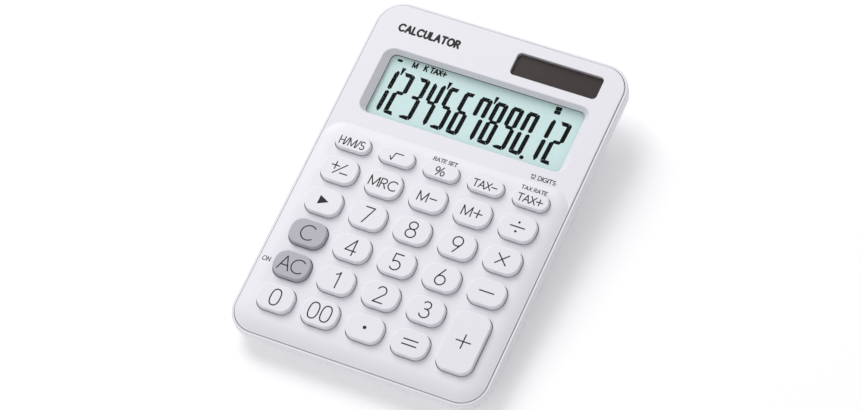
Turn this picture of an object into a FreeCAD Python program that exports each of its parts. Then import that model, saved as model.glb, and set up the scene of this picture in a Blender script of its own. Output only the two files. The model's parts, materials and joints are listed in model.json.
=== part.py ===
"""Desk calculator: a sloping two-shell case with a flat display, a solar cell and 29 spring keys.

Two frames are used. The face frame lies on the sloping face: x to the right, y up the face towards
the display, z out of the face, with its origin at the centre of the face and z = 0 at its edge.
The desk frame stands on the desk: origin under the middle of the case, +Z up. All sizes are in
millimetres.
"""
import FreeCAD, Part
import math
import os

V = FreeCAD.Vector

# ---------------------------------------------------------------- case, overall
CASE_WIDTH = 105.0
CASE_LENGTH = 150.0            # measured along the sloping face
CASE_CORNER_RADIUS = 11.0
FACE_TILT = 5.3                # degrees, display end raised
RIM_FRONT_HEIGHT = 8.9         # edge of the face above the desk at the front
SLAB_DEPTH = 8.0               # face edge down to the underside of the slab
SIDE_WALL_DEPTH = 4.6          # upright part of the side, half way along
SIDE_WALL_FLARE = 0.7          # degrees, the upright part is deeper at the display end
UNDERCUT_SLOPE = 1.05          # how far the underside draws in per millimetre of depth
RIM_ROUND = 0.4

# ---------------------------------------------------------------- shells
RIM_THICKNESS = 1.0            # lower case lip that shows round the face
RIM_DROP = 0.45                # lip below the edge of the upper case
SEAM_GAP = 0.25                # line between the lip and the upper case
UPPER_WALL = 1.6
LOWER_WALL = 1.8
SKIRT_DEPTH = 3.5              # upper case skirt inside the lip
UPPER_EDGE_ROUND = 0.4

# ---------------------------------------------------------------- raised key field
DISPLAY_ZONE_LENGTH = 56.2     # flat part of the face at the display end
PILLOW_RISE = 1.0
PILLOW_INSET = 0.6             # flat edge left outside the raised field
PILLOW_EDGE_WIDTH = 5.3        # width of the rounded shoulder
PILLOW_STEP = 0.06             # crisp line where the shoulder starts
PILLOW_REAR_RADIUS = 8.0
KEYPAD_WALL = 1.8

# ---------------------------------------------------------------- keys
KEY_COLUMNS = 5
KEY_ROWS = 5                   # full-height rows, below one row of low pill keys
KEYPAD_SIDE_MARGIN = 8.03      # case edge to the first key opening
KEYPAD_FRONT_MARGIN = 10.43
KEYPAD_REAR_MARGIN = 4.73      # last opening to the end of the raised field
KEY_WEB_X = 3.16               # case material between two openings, side by side
KEY_WEB_Y = 2.86
PILL_OPENING_LENGTH = 7.34
KEY_OPENING_RADIUS = 4.8
KEY_GAP = 0.32                 # key to the edge of its opening
KEY_PROUD = 2.0                # key top above the raised field
KEY_TRAVEL = 1.3
KEY_CROWN_INSET = 0.12         # draft of the visible sides
KEY_CROWN_ROUND = 0.4
KEY_WALL = 1.2
KEY_ROOF = 1.4
KEY_FLANGE_REACH = 0.6         # retaining flange beyond the opening
KEY_FLANGE_THICKNESS = 0.7
KEY_FLANGE_GAP = 0.1           # flange to the underside of the case at rest
KEY_POST_RADIUS = 1.9
KEY_POST_DROP = 0.25           # post below the flange

# ---------------------------------------------------------------- display
DISPLAY_SIDE_MARGIN = 9.35     # case edge to the outer edge of the sloped surround
DISPLAY_REAR_MARGIN = 20.3
DISPLAY_LENGTH = 29.3
DISPLAY_RADIUS = 4.6
SURROUND_SIDE = 2.55           # width of the sloped surround at the two ends
SURROUND_LONG = 1.0            # and along the two long sides
SURROUND_DEPTH = 2.8
SURROUND_ROUND = 0.35
WINDOW_OPENING_RADIUS = 2.4
DISPLAY_BLOCK = 2.0            # case material kept round the surround
GASKET_THICKNESS = 0.6
GASKET_WIDTH = 1.5
WINDOW_THICKNESS = 0.8
POLARISER_THICKNESS = 0.2
GLASS_THICKNESS = 0.5
GLASS_LEDGE = 2.4              # rear glass beyond the front glass, for the connector
RAIL_THICKNESS = 1.0
RAIL_GAP = 0.2
CONNECTOR_THICKNESS = 0.12
CONNECTOR_SIDE_MARGIN = 9.0
CONNECTOR_BOND = 2.2           # glued length at each end of the ribbon
CONNECTOR_SPAN = 4.4           # glass to board
CONNECTOR_GLASS_GAP = 0.1      # end of the ribbon to the front glass

# ---------------------------------------------------------------- solar cell
SOLAR_OPENING_WIDTH = 35.8
SOLAR_OPENING_LENGTH = 10.1
SOLAR_SIDE_MARGIN = 10.3
SOLAR_REAR_MARGIN = 6.2
SOLAR_RADIUS = 1.8
SOLAR_WINDOW_GAP = 0.1
SOLAR_WINDOW_RECESS = 0.3
SOLAR_CELL_BORDER = 0.6
SOLAR_CELL_THICKNESS = 1.1

# ---------------------------------------------------------------- board, mat and contacts
BOARD_THICKNESS = 1.2
BOARD_SIDE_MARGIN = 10.6
BOARD_FRONT_MARGIN = 9.0
MAT_THICKNESS = 0.6
MAT_INSET = 0.6
DOME_RADIUS = 3.1
DOME_HEIGHT = 0.7              # as pressed flat
DOME_CLEARANCE = 0.15          # post to a flat dome with the key right down
DOME_WALL = 0.7
PILL_THICKNESS = 0.4
PILL_GAP = 0.3
BOARD_BOSS_RADIUS = 1.6
BOARD_SCREW_RADIUS = 0.7
BOARD_SCREW_HEAD_RADIUS = 1.6
BOARD_SCREW_HEAD_HEIGHT = 0.9
BOARD_SCREW_LENGTH = 3.6       # below the head
BOARD_SCREW_GAPS = ((0, 1), (3, 1), (1, 3), (3, 3), (0, 4), (2, 4))   # column gap, row gap
BOSS_CLEARANCE = 0.3
PROCESSOR_RADIUS = 6.5
PROCESSOR_HEIGHT = 1.3
CAPACITOR_RADIUS = 2.0
CAPACITOR_LENGTH = 5.0
RESISTOR_WIDTH = 1.6
RESISTOR_LENGTH = 3.2
RESISTOR_HEIGHT = 0.6

# ---------------------------------------------------------------- base wedge, feet, case screws
WEDGE_SIDE_MARGIN = 11.5
WEDGE_FRONT_MARGIN = 13.0
WEDGE_REAR_MARGIN = 11.0
WEDGE_RADIUS = 9.0
WEDGE_DRAFT = 0.1              # how far each side draws in per millimetre down to the bottom
WEDGE_EDGE_ROUND = 1.2
FOOT_RADIUS = 4.0
FOOT_PROUD = 0.8
FOOT_SEAT_DEPTH = 0.7
FOOT_GAP = 0.15
FOOT_INSET_X = 8.0             # wedge edge to the middle of a foot
FOOT_INSET_Y = 9.0
FOOT_EDGE_ROUND = 0.25
CASE_BOSS_RADIUS = 2.1
CASE_PAD_RADIUS = 3.2
CASE_PAD_HEIGHT = 3.3
CASE_SCREW_RADIUS = 0.9
CASE_SCREW_LENGTH = 2.8        # below the head
CASE_SCREW_HEAD_RADIUS = 1.8
CASE_SCREW_HEAD_HEIGHT = 1.1
CASE_SCREW_SINK = 2.0
SCREW_HOLE_GAP = 0.2
SCREW_EDGE_SHARE = 0.4         # head edge round, of the head's height
SCREW_CROSS_REACH = 0.6        # arm of the cross recess, of the head's radius
SCREW_CROSS_WIDTH = 0.35       # half its width, of the shank's radius
SCREW_CROSS_DEPTH = 0.45       # of the head's height
CASE_SCREW_SIDE = 6.6          # case edge to the screw row
CASE_SCREW_FRONT = 7.7
CASE_SCREW_REAR = 9.4
CASE_SCREW_MIDDLE = 56.8       # from the display end

# ---------------------------------------------------------------- button cell and leads
CELL_RADIUS = 5.8
CELL_HEIGHT = 5.4
CELL_CAP_RADIUS = 4.8
CELL_CAP_HEIGHT = 0.4
CELL_EDGE_ROUND = 0.4
CELL_X = -22.0
CELL_FROM_REAR = 34.0
CUP_GAP = 0.3
CUP_WALL = 1.4
CUP_HEIGHT = 4.6
STRIP_THICKNESS = 0.3
STRIP_WIDTH = 4.0
STRIP_REACH = 3.4              # contact strip beyond the cup
LEAD_RADIUS = 0.5
LEAD_SPACING = 3.0
LEAD_DROP = 2.2                # leads run this far below the display stack

# ---------------------------------------------------------------- cutting tools
OVERCUT = 1.0                  # how far a tool runs past what it cuts
FUNNEL_REACH = 4.0             # undercut funnel below the slab
BIG = 400.0
LEAST_FLAT = 0.02              # straight left between two full corner rounds
TOUCH = 0.01

# ================================================================ worked-out sizes
TILT = math.radians(FACE_TILT)
SIN_TILT = math.sin(TILT)
HALF_WIDTH = CASE_WIDTH / 2
HALF_LENGTH = CASE_LENGTH / 2
FACE_CENTRE_HEIGHT = RIM_FRONT_HEIGHT + HALF_LENGTH * SIN_TILT
REAR_WALL_DEPTH = SIDE_WALL_DEPTH + HALF_LENGTH * math.tan(math.radians(SIDE_WALL_FLARE))
FACE_CENTRE_Y = -(RIM_DROP + RIM_ROUND + REAR_WALL_DEPTH) * SIN_TILT / 2
FACE_PLACEMENT = FreeCAD.Placement(
    V(0, FACE_CENTRE_Y, FACE_CENTRE_HEIGHT), FreeCAD.Rotation(V(1, 0, 0), FACE_TILT))

SEAM_INSET = RIM_THICKNESS + SEAM_GAP
SEAM_WIDTH = CASE_WIDTH - 2 * SEAM_INSET
SEAM_LENGTH = CASE_LENGTH - 2 * SEAM_INSET
SEAM_RADIUS = CASE_CORNER_RADIUS - SEAM_INSET

PILLOW_FRONT = -SEAM_LENGTH / 2 + PILLOW_INSET
PILLOW_REAR = HALF_LENGTH - DISPLAY_ZONE_LENGTH
PILLOW_WIDTH = SEAM_WIDTH - 2 * PILLOW_INSET
KEYPAD_UNDERSIDE = PILLOW_RISE - KEYPAD_WALL

KEYPAD_WIDTH = CASE_WIDTH - 2 * KEYPAD_SIDE_MARGIN
KEY_PITCH_X = (KEYPAD_WIDTH + KEY_WEB_X) / KEY_COLUMNS
KEY_OPENING_WIDTH = KEY_PITCH_X - KEY_WEB_X
KEYPAD_REAR = PILLOW_REAR - KEYPAD_REAR_MARGIN
KEYPAD_FRONT = -HALF_LENGTH + KEYPAD_FRONT_MARGIN
KEY_PITCH_Y = (KEYPAD_REAR - KEYPAD_FRONT - PILL_OPENING_LENGTH) / KEY_ROWS
KEY_OPENING_LENGTH = KEY_PITCH_Y - KEY_WEB_Y
KEY_TOP = PILLOW_RISE + KEY_PROUD
KEY_FLANGE_TOP = KEYPAD_UNDERSIDE - KEY_FLANGE_GAP
KEY_FLANGE_BOTTOM = KEY_FLANGE_TOP - KEY_FLANGE_THICKNESS
KEY_POST_BOTTOM = KEY_FLANGE_BOTTOM - KEY_POST_DROP

DISPLAY_WIDTH = CASE_WIDTH - 2 * DISPLAY_SIDE_MARGIN
DISPLAY_Y = HALF_LENGTH - DISPLAY_REAR_MARGIN - DISPLAY_LENGTH / 2
WINDOW_OPENING_WIDTH = DISPLAY_WIDTH - 2 * SURROUND_SIDE
WINDOW_OPENING_LENGTH = DISPLAY_LENGTH - 2 * SURROUND_LONG
GLASS_WIDTH = WINDOW_OPENING_WIDTH + 2 * GASKET_WIDTH
GLASS_LENGTH = WINDOW_OPENING_LENGTH + 2 * GASKET_WIDTH
GASKET_TOP = -SURROUND_DEPTH
WINDOW_TOP = GASKET_TOP - GASKET_THICKNESS
POLARISER_TOP = WINDOW_TOP - WINDOW_THICKNESS
FRONT_GLASS_TOP = POLARISER_TOP - POLARISER_THICKNESS
REAR_GLASS_TOP = FRONT_GLASS_TOP - GLASS_THICKNESS
REFLECTOR_TOP = REAR_GLASS_TOP - GLASS_THICKNESS
REFLECTOR_BOTTOM = REFLECTOR_TOP - POLARISER_THICKNESS
GLASS_FRONT = DISPLAY_Y - GLASS_LENGTH / 2
LEDGE_FRONT = GLASS_FRONT - GLASS_LEDGE

SOLAR_X = HALF_WIDTH - SOLAR_SIDE_MARGIN - SOLAR_OPENING_WIDTH / 2
SOLAR_Y = HALF_LENGTH - SOLAR_REAR_MARGIN - SOLAR_OPENING_LENGTH / 2

FLAT_DOME_TOP = KEY_POST_BOTTOM - KEY_TRAVEL - DOME_CLEARANCE
MAT_TOP = FLAT_DOME_TOP - DOME_HEIGHT
BOARD_TOP = MAT_TOP - MAT_THICKNESS
BOARD_BOTTOM = BOARD_TOP - BOARD_THICKNESS
BOARD_WIDTH = CASE_WIDTH - 2 * BOARD_SIDE_MARGIN
BOARD_FRONT = -HALF_LENGTH + BOARD_FRONT_MARGIN
BOARD_REAR = LEDGE_FRONT - CONNECTOR_SPAN
MAT_REAR = BOARD_REAR - CONNECTOR_BOND - MAT_INSET

WEDGE_WIDTH = CASE_WIDTH - 2 * WEDGE_SIDE_MARGIN
WEDGE_LENGTH = CASE_LENGTH - WEDGE_FRONT_MARGIN - WEDGE_REAR_MARGIN
WEDGE_Y = (WEDGE_FRONT_MARGIN - WEDGE_REAR_MARGIN) / 2
WEDGE_FLOOR = FOOT_PROUD + LOWER_WALL
WEDGE_CEILING = FACE_CENTRE_HEIGHT + HALF_LENGTH * SIN_TILT - SLAB_DEPTH + LOWER_WALL
SLAB_FLOOR = -SLAB_DEPTH + LOWER_WALL
CASE_PAD_TOP = -SLAB_DEPTH + CASE_PAD_HEIGHT
CELL_Y = HALF_LENGTH - CELL_FROM_REAR
CUP_INNER = CELL_RADIUS + CUP_GAP
CUP_OUTER = CUP_INNER + CUP_WALL


# ================================================================ shape helpers
def rounded_wire(width, length, radius, z, cx=0.0, cy=0.0, rear_radius=None):
    """Rounded rectangle at height z; rear_radius rounds the two corners at +y."""
    limit = min(width, length) / 2 - LEAST_FLAT / 2
    front = min(radius, limit)
    rear = front if rear_radius is None else min(rear_radius, limit)
    left, right = cx - width / 2, cx + width / 2
    low, high = cy - length / 2, cy + length / 2
    corners = (
        (right - front, low + front, front, -90),
        (right - rear, high - rear, rear, 0),
        (left + rear, high - rear, rear, 90),
        (left + front, low + front, front, 180),
    )

    def on_arc(corner, degrees):
        x, y, r, _ = corner
        angle = math.radians(degrees)
        return V(x + r * math.cos(angle), y + r * math.sin(angle), z)

    edges = []
    for index, corner in enumerate(corners):
        start = corner[3]
        points = [on_arc(corner, start + turn) for turn in (0, 45, 90)]
        edges.append(Part.Arc(*points).toShape())
        following = corners[(index + 1) % len(corners)]
        edges.append(Part.LineSegment(points[2], on_arc(following, following[3])).toShape())
    return Part.Wire(edges)


def prism(width, length, radius, z0, z1, cx=0.0, cy=0.0, rear_radius=None):
    """Upright rounded block between heights z0 and z1."""
    outline = rounded_wire(width, length, radius, z0, cx, cy, rear_radius)
    return Part.Face(outline).extrude(V(0, 0, z1 - z0))


def tapered(low, high, cx=0.0, cy=0.0):
    """Rounded block that changes size; low and high are (width, length, radius, z)."""
    wires = [rounded_wire(w, l, r, z, cx, cy) for w, l, r, z in (low, high)]
    return Part.makeLoft(wires, True, True)


def rod(radius, x, y, z0, z1):
    return Part.makeCylinder(radius, z1 - z0, V(x, y, z0))


def block(x0, x1, y0, y1, z0, z1):
    return Part.makeBox(x1 - x0, y1 - y0, z1 - z0, V(x0, y0, z0))


def run_of_wire(points, radius):
    """Round lead through the points, with ball-shaped bends."""
    pieces = []
    for start, end in zip(points, points[1:]):
        pieces.append(Part.makeCylinder(radius, (end - start).Length, start, end - start))
    for bend in points[1:-1]:
        pieces.append(Part.makeSphere(radius, bend))
    return pieces[0].fuse(pieces[1:]).removeSplitter()


def edges_at(shape, z, keep=lambda box: True):
    """Edges lying flat at height z whose box passes the test."""
    def flat(box):
        return abs(box.ZMin - z) < 1e-4 and abs(box.ZMax - z) < 1e-4
    return [edge for edge in shape.Edges if flat(edge.BoundBox) and keep(edge.BoundBox)]


def on_face(shape):
    """Moves a shape from the face frame to the desk frame."""
    moved = shape.copy()
    moved.Placement = FACE_PLACEMENT.multiply(moved.Placement)
    return moved


def desk_point(x, y, z):
    """Desk-frame place of a face-frame point."""
    return FACE_PLACEMENT.multVec(V(x, y, z))


# ================================================================ key layout
def column_x(column):
    return (column - (KEY_COLUMNS - 1) / 2) * KEY_PITCH_X


def row_y(row):
    """Row 0 is the pill row; rows 1 to 5 come down the face."""
    if row == 0:
        return KEYPAD_REAR - PILL_OPENING_LENGTH / 2
    front_row = KEYPAD_FRONT + KEY_OPENING_LENGTH / 2
    return front_row + (KEY_ROWS - row) * KEY_PITCH_Y


KEY_NAMES = (
    ("time", "square_root", "percent", "tax_minus", "tax_plus"),
    ("sign", "memory_recall", "memory_minus", "memory_plus", "divide"),
    ("backspace", "7", "8", "9", "times"),
    ("clear", "4", "5", "6", "minus"),
    ("all_clear", "1", "2", "3", None),
    ("0", "00", "point", "equals", None),
)


def key_places():
    """Name, middle and opening length of every key; the plus key covers two rows."""
    places = []
    for row, names in enumerate(KEY_NAMES):
        length = PILL_OPENING_LENGTH if row == 0 else KEY_OPENING_LENGTH
        for column, name in enumerate(names):
            if name:
                places.append((name, column_x(column), row_y(row), length))
    middle = (row_y(KEY_ROWS - 1) + row_y(KEY_ROWS)) / 2
    places.append(("plus", column_x(KEY_COLUMNS - 1), middle, KEY_OPENING_LENGTH + KEY_PITCH_Y))
    return places


def board_screw_places():
    """Crossings of the webs between keys that carry a board screw."""
    places = []
    for column_gap, row_gap in BOARD_SCREW_GAPS:
        x = (column_x(column_gap) + column_x(column_gap + 1)) / 2
        y = (row_y(row_gap) + row_y(row_gap + 1)) / 2
        places.append((x, y))
    return places


def case_screw_places():
    x = HALF_WIDTH - CASE_SCREW_SIDE
    rows = (-HALF_LENGTH + CASE_SCREW_FRONT, HALF_LENGTH - CASE_SCREW_MIDDLE,
            HALF_LENGTH - CASE_SCREW_REAR)
    return [(side * x, y) for y in rows for side in (-1, 1)]


# ================================================================ shells
def raised_key_field():
    """Soft pillow under the keys: a block whose top rolls over on one large radius."""
    drop = PILLOW_RISE - PILLOW_STEP
    roll = (PILLOW_EDGE_WIDTH ** 2 + drop ** 2) / (2 * drop)
    length = PILLOW_REAR - PILLOW_FRONT
    middle = (PILLOW_REAR + PILLOW_FRONT) / 2
    radius = SEAM_RADIUS - PILLOW_INSET
    grow = roll - PILLOW_EDGE_WIDTH
    crown = prism(PILLOW_WIDTH + 2 * grow, length + 2 * grow, radius + grow,
                  PILLOW_RISE - 2 * roll, PILLOW_RISE, 0, middle, PILLOW_REAR_RADIUS + grow)
    crown = crown.makeFillet(roll, edges_at(crown, PILLOW_RISE))
    column = prism(PILLOW_WIDTH, length, radius, -UPPER_WALL / 2, 2 * PILLOW_RISE, 0, middle,
                   PILLOW_REAR_RADIUS)
    return column.common(crown)


def key_opening(x, y, length):
    return prism(KEY_OPENING_WIDTH, length, KEY_OPENING_RADIUS,
                 KEYPAD_UNDERSIDE - OVERCUT, KEY_TOP, x, y)


def display_rails():
    """Rib round three sides of the glass, open towards the keys for the ribbon."""
    half = GLASS_WIDTH / 2 + RAIL_GAP
    rear = DISPLAY_Y + GLASS_LENGTH / 2 + RAIL_GAP
    outer = block(-half - RAIL_THICKNESS, half + RAIL_THICKNESS,
                  GLASS_FRONT, rear + RAIL_THICKNESS, REAR_GLASS_TOP, GASKET_TOP)
    return outer.cut(block(-half, half, GLASS_FRONT - OVERCUT, rear,
                           REAR_GLASS_TOP - OVERCUT, GASKET_TOP + OVERCUT))


def upper_case():
    shell = prism(SEAM_WIDTH, SEAM_LENGTH, SEAM_RADIUS, -SKIRT_DEPTH, 0)
    shell = shell.makeFillet(UPPER_EDGE_ROUND, edges_at(shell, 0))
    inner_width = SEAM_WIDTH - 2 * UPPER_WALL
    cavity = prism(inner_width, SEAM_LENGTH - 2 * UPPER_WALL, SEAM_RADIUS - UPPER_WALL,
                   -SKIRT_DEPTH - OVERCUT, -UPPER_WALL)
    under_keys_front = -SEAM_LENGTH / 2 + UPPER_WALL + PILLOW_EDGE_WIDTH / 2
    under_keys_rear = PILLOW_REAR - PILLOW_EDGE_WIDTH / 2
    under_keys = prism(inner_width - PILLOW_EDGE_WIDTH, under_keys_rear - under_keys_front,
                       KEY_OPENING_RADIUS, -UPPER_WALL - OVERCUT, KEYPAD_UNDERSIDE,
                       0, (under_keys_front + under_keys_rear) / 2)
    shell = shell.fuse(raised_key_field()).cut([cavity, under_keys])

    outline = (DISPLAY_WIDTH + 2 * DISPLAY_BLOCK, DISPLAY_LENGTH + 2 * DISPLAY_BLOCK)
    added = [prism(*outline, DISPLAY_RADIUS, GASKET_TOP, -UPPER_WALL / 2, 0, DISPLAY_Y)]
    added.append(display_rails())
    for x, y in case_screw_places():
        added.append(rod(CASE_BOSS_RADIUS, x, y, CASE_PAD_TOP, -UPPER_WALL / 2))
    for x, y in board_screw_places():
        added.append(rod(BOARD_BOSS_RADIUS, x, y, BOARD_TOP, KEYPAD_UNDERSIDE + KEYPAD_WALL / 2))
    shell = shell.fuse(added)

    surround = tapered(
        (WINDOW_OPENING_WIDTH, WINDOW_OPENING_LENGTH, WINDOW_OPENING_RADIUS, GASKET_TOP),
        (DISPLAY_WIDTH, DISPLAY_LENGTH, DISPLAY_RADIUS, 0), 0, DISPLAY_Y)
    solar = prism(SOLAR_OPENING_WIDTH, SOLAR_OPENING_LENGTH, SOLAR_RADIUS,
                  -UPPER_WALL - OVERCUT, OVERCUT, SOLAR_X, SOLAR_Y)
    removed = [surround, solar]
    removed += [key_opening(x, y, length) for _, x, y, length in key_places()]
    for x, y in case_screw_places():
        removed.append(rod(CASE_SCREW_RADIUS, x, y, CASE_PAD_TOP - OVERCUT, -UPPER_WALL))
    for x, y in board_screw_places():
        removed.append(rod(BOARD_SCREW_RADIUS, x, y, BOARD_TOP - OVERCUT, KEYPAD_UNDERSIDE))
    shell = shell.cut(removed).removeSplitter()

    def round_surround(box):
        inside_x = max(abs(box.XMin), abs(box.XMax)) < DISPLAY_WIDTH / 2 + TOUCH
        inside_y = box.YMin > DISPLAY_Y - DISPLAY_LENGTH / 2 - TOUCH
        return inside_x and inside_y and box.YMax < DISPLAY_Y + DISPLAY_LENGTH / 2 + TOUCH
    shell = shell.makeFillet(SURROUND_ROUND, edges_at(shell, 0, round_surround))
    return on_face(shell)


def undercut_cone(inset):
    """Funnel that draws the underside of the slab in; inset moves it inwards for the cavity."""
    sections = []
    for z in (-SLAB_DEPTH - FUNNEL_REACH, SLAB_DEPTH):
        grow = UNDERCUT_SLOPE * (z + SIDE_WALL_DEPTH) - inset
        sections.append((CASE_WIDTH + 2 * grow, CASE_LENGTH + 2 * grow,
                         CASE_CORNER_RADIUS + grow, z))
    cone = tapered(*sections)
    cone.rotate(V(0, 0, -SIDE_WALL_DEPTH), V(1, 0, 0), -SIDE_WALL_FLARE)
    return cone


def wedge_block(inset, floor, z_limit):
    """Wedge under the slab, drawn in towards its flat bottom, cut off at face height z_limit."""
    width = WEDGE_WIDTH - 2 * inset
    length = WEDGE_LENGTH - 2 * inset
    radius = WEDGE_RADIUS - inset
    draft = WEDGE_DRAFT * (WEDGE_CEILING - floor)
    body = tapered((width - 2 * draft, length - 2 * draft, radius - draft, floor),
                   (width, length, radius, WEDGE_CEILING), 0, WEDGE_Y)
    if inset == 0:
        body = body.makeFillet(WEDGE_EDGE_ROUND, edges_at(body, floor))
    below = on_face(block(-BIG, BIG, -BIG, BIG, -BIG, z_limit))
    return body.common(below)


def foot_places():
    x = WEDGE_WIDTH / 2 - FOOT_INSET_X
    half = WEDGE_LENGTH / 2 - FOOT_INSET_Y
    return [(side * x, WEDGE_Y + end * half) for end in (-1, 1) for side in (-1, 1)]


def battery_cup():
    """Ring that holds the button cell, notched at the bottom for the contact strip."""
    top = WEDGE_FLOOR + CUP_HEIGHT
    ring = rod(CUP_OUTER, CELL_X, CELL_Y, WEDGE_FLOOR - LOWER_WALL / 2, top)
    bore = rod(CUP_INNER, CELL_X, CELL_Y, WEDGE_FLOOR, top + OVERCUT)
    half = STRIP_WIDTH / 2 + CUP_GAP
    notch = block(CELL_X, CELL_X + CUP_OUTER + OVERCUT, CELL_Y - half, CELL_Y + half,
                  WEDGE_FLOOR, WEDGE_FLOOR + 2 * STRIP_THICKNESS)
    return ring.cut([bore, notch])


def lower_case():
    slab = prism(CASE_WIDTH, CASE_LENGTH, CASE_CORNER_RADIUS, -SLAB_DEPTH, -RIM_DROP)
    slab = slab.makeFillet(RIM_ROUND, edges_at(slab, -RIM_DROP)).common(undercut_cone(0))
    pocket_width = SEAM_WIDTH + 2 * SEAM_GAP
    pocket = prism(pocket_width, SEAM_LENGTH + 2 * SEAM_GAP, SEAM_RADIUS + SEAM_GAP,
                   -SKIRT_DEPTH, OVERCUT)
    cavity = prism(SEAM_WIDTH - 2 * UPPER_WALL, SEAM_LENGTH - 2 * UPPER_WALL,
                   SEAM_RADIUS - UPPER_WALL, SLAB_FLOOR, -SKIRT_DEPTH + OVERCUT)
    hollow = cavity.common(undercut_cone(LOWER_WALL))
    shell = slab.cut([pocket, hollow])
    pads = [rod(CASE_PAD_RADIUS, x, y, -SLAB_DEPTH, CASE_PAD_TOP) for x, y in case_screw_places()]
    shell = shell.fuse([pad.common(slab) for pad in pads])
    shell = on_face(shell)

    wedge = wedge_block(0, FOOT_PROUD, SLAB_FLOOR - LOWER_WALL / 2)
    wedge_hollow = wedge_block(LOWER_WALL, WEDGE_FLOOR, SLAB_FLOOR + LOWER_WALL / 2)
    shell = shell.fuse(wedge).cut(wedge_hollow).fuse(battery_cup())

    removed = []
    for x, y in case_screw_places():
        hole = rod(CASE_SCREW_RADIUS + SCREW_HOLE_GAP, x, y,
                   -SLAB_DEPTH - OVERCUT, CASE_PAD_TOP + OVERCUT)
        sink = rod(CASE_SCREW_HEAD_RADIUS + SCREW_HOLE_GAP, x, y,
                   -SLAB_DEPTH - OVERCUT, -SLAB_DEPTH + CASE_SCREW_SINK)
        removed += [on_face(hole), on_face(sink)]
    for x, y in foot_places():
        removed.append(rod(FOOT_RADIUS + FOOT_GAP, x, y, FOOT_PROUD - OVERCUT,
                           FOOT_PROUD + FOOT_SEAT_DEPTH))
    return shell.cut(removed).removeSplitter()


# ================================================================ keys
def key_cap(x, y, opening_length):
    """Hollow moulded key with a retaining flange and a post over its dome."""
    width = KEY_OPENING_WIDTH - 2 * KEY_GAP
    length = opening_length - 2 * KEY_GAP
    radius = min(KEY_OPENING_RADIUS, opening_length / 2) - KEY_GAP
    draft_start = PILLOW_RISE + KEY_GAP
    skirt = prism(width, length, radius, KEY_FLANGE_BOTTOM, draft_start, x, y)
    crown = tapered(
        (width, length, radius, draft_start),
        (width - 2 * KEY_CROWN_INSET, length - 2 * KEY_CROWN_INSET, radius - KEY_CROWN_INSET,
         KEY_TOP), x, y)
    cap = skirt.fuse(crown).removeSplitter()
    cap = cap.makeFillet(KEY_CROWN_ROUND, edges_at(cap, KEY_TOP))
    reach = 2 * (KEY_GAP + KEY_FLANGE_REACH)
    flange = prism(width + reach, length + reach, radius + reach / 2,
                   KEY_FLANGE_BOTTOM, KEY_FLANGE_TOP, x, y)
    hollow = prism(width - 2 * KEY_WALL, length - 2 * KEY_WALL, radius - KEY_WALL,
                   KEY_FLANGE_BOTTOM - OVERCUT, KEY_TOP - KEY_ROOF, x, y)
    post = rod(KEY_POST_RADIUS, x, y, KEY_POST_BOTTOM, KEY_TOP - KEY_ROOF / 2)
    return on_face(cap.fuse(flange).cut(hollow).fuse(post).removeSplitter())


# ================================================================ display stack
def display_ring(width, length, hole_width, hole_length, hole_radius, top, thickness):
    outer = prism(width, length, hole_radius, top - thickness, top, 0, DISPLAY_Y)
    hole = prism(hole_width, hole_length, hole_radius,
                 top - thickness - OVERCUT, top + OVERCUT, 0, DISPLAY_Y)
    return outer.cut(hole)


def display_gasket():
    return on_face(display_ring(GLASS_WIDTH, GLASS_LENGTH, WINDOW_OPENING_WIDTH,
                                WINDOW_OPENING_LENGTH, WINDOW_OPENING_RADIUS,
                                GASKET_TOP, GASKET_THICKNESS))


def display_sheet(top, thickness, ledge=0.0, inset=0.0):
    """Flat rectangular layer of the display; ledge lengthens it towards the keys."""
    half = GLASS_WIDTH / 2 - inset
    front = GLASS_FRONT - ledge + inset
    rear = DISPLAY_Y + GLASS_LENGTH / 2 - inset
    return on_face(block(-half, half, front, rear, top - thickness, top))


def display_connector():
    """Ribbon bonded to the ledge of the rear glass and to the top of the board."""
    half = GLASS_WIDTH / 2 - CONNECTOR_SIDE_MARGIN
    line = (
        (GLASS_FRONT - CONNECTOR_GLASS_GAP, REAR_GLASS_TOP),
        (LEDGE_FRONT, REAR_GLASS_TOP),
        (BOARD_REAR, BOARD_TOP),
        (BOARD_REAR - CONNECTOR_BOND, BOARD_TOP),
    )
    lower = [V(-half, y, z) for y, z in line]
    upper = [V(-half, y, z + CONNECTOR_THICKNESS) for y, z in reversed(line)]
    outline = Part.makePolygon(lower + upper + lower[:1])
    return on_face(Part.Face(outline).extrude(V(2 * half, 0, 0)))


# ================================================================ solar cell
def solar_window():
    top = -SOLAR_WINDOW_RECESS
    gap = 2 * SOLAR_WINDOW_GAP
    return on_face(prism(SOLAR_OPENING_WIDTH - gap, SOLAR_OPENING_LENGTH - gap,
                         SOLAR_RADIUS - SOLAR_WINDOW_GAP, -UPPER_WALL, top, SOLAR_X, SOLAR_Y))


def solar_cell():
    half_x = SOLAR_OPENING_WIDTH / 2 + SOLAR_CELL_BORDER
    half_y = SOLAR_OPENING_LENGTH / 2 + SOLAR_CELL_BORDER
    return on_face(block(SOLAR_X - half_x, SOLAR_X + half_x, SOLAR_Y - half_y, SOLAR_Y + half_y,
                         -UPPER_WALL - SOLAR_CELL_THICKNESS, -UPPER_WALL))


def solar_leads():
    """Two leads from the cell's back, below the display stack, to the underside of the board."""
    leads = []
    depth = REFLECTOR_BOTTOM - LEAD_DROP
    start_y = SOLAR_Y - SOLAR_OPENING_LENGTH / 2 + 2 * LEAD_RADIUS
    end_y = BOARD_REAR - CONNECTOR_BOND
    for side in (-1, 1):
        x = SOLAR_X + side * LEAD_SPACING / 2
        points = [V(x, start_y, -UPPER_WALL - SOLAR_CELL_THICKNESS), V(x, start_y, depth),
                  V(x, end_y, depth), V(x, end_y, BOARD_BOTTOM)]
        leads.append(run_of_wire(points, LEAD_RADIUS))
    return on_face(Part.makeCompound(leads))


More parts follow.
